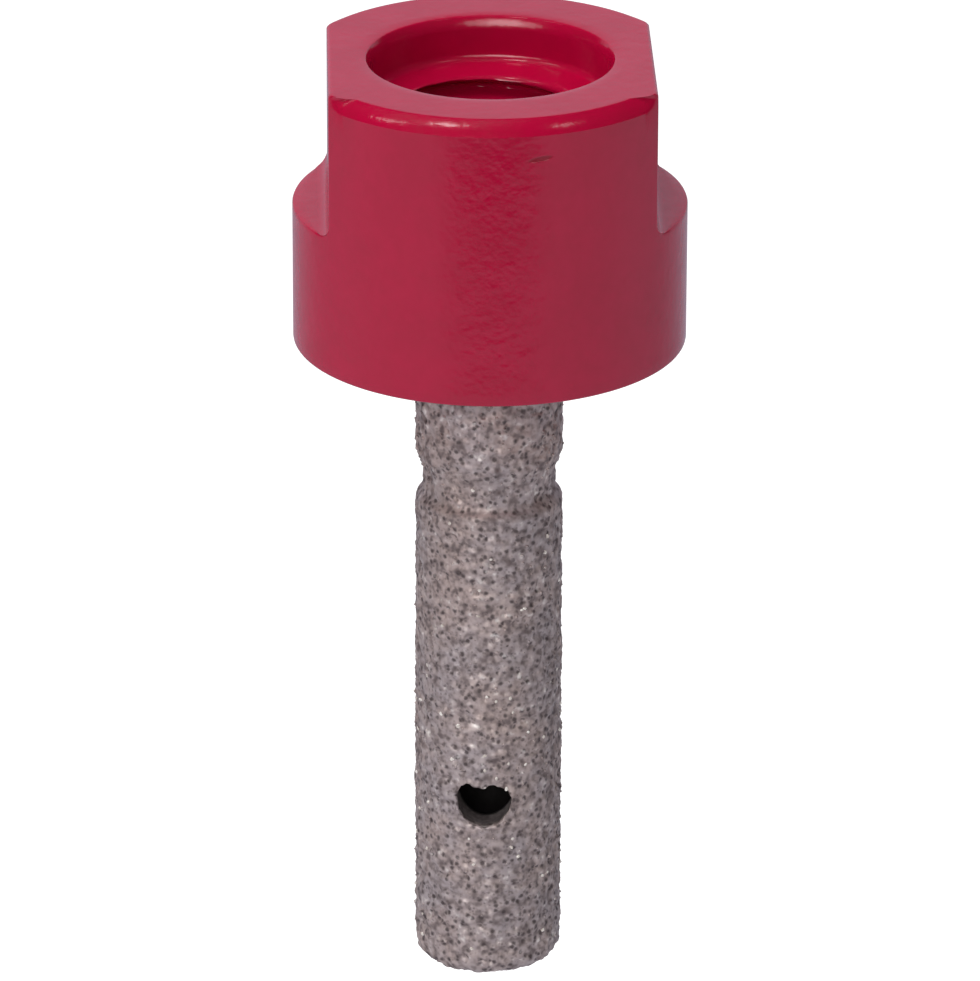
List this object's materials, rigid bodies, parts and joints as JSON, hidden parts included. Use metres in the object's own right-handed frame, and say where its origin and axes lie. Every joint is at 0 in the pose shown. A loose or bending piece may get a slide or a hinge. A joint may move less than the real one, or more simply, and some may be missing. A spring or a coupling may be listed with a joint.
{
  "type": "diamond drill bit",
  "caption": "Slim hollow drill bit with a coat of brazed diamond grit, on a red threaded hub with wrench flats, for dry drilling tile and stone on an angle grinder.",
  "frame": {"origin": "centre of the hub's seat face, on the thread's axis", "axes": "+Z along the axis, out of the threaded mouth towards the grinder, with the bit's tip towards -Z; the wrench flats face -X and +X, and the vent faces -Y"},
  "size_m": [0.0272, 0.0272, 0.0676],
  "materials": {
    "red_paint": "glossy red paint with a slight orange peel",
    "core_steel": "dark turned steel",
    "brazed_grit": "rough grey-brown braze crust full of diamond grains"
  },
  "bodies": {
    "root": {"threaded_hub": "red_paint", "core_tube": "core_steel", "grit_coat": "brazed_grit"}
  },
  "joints": []
}
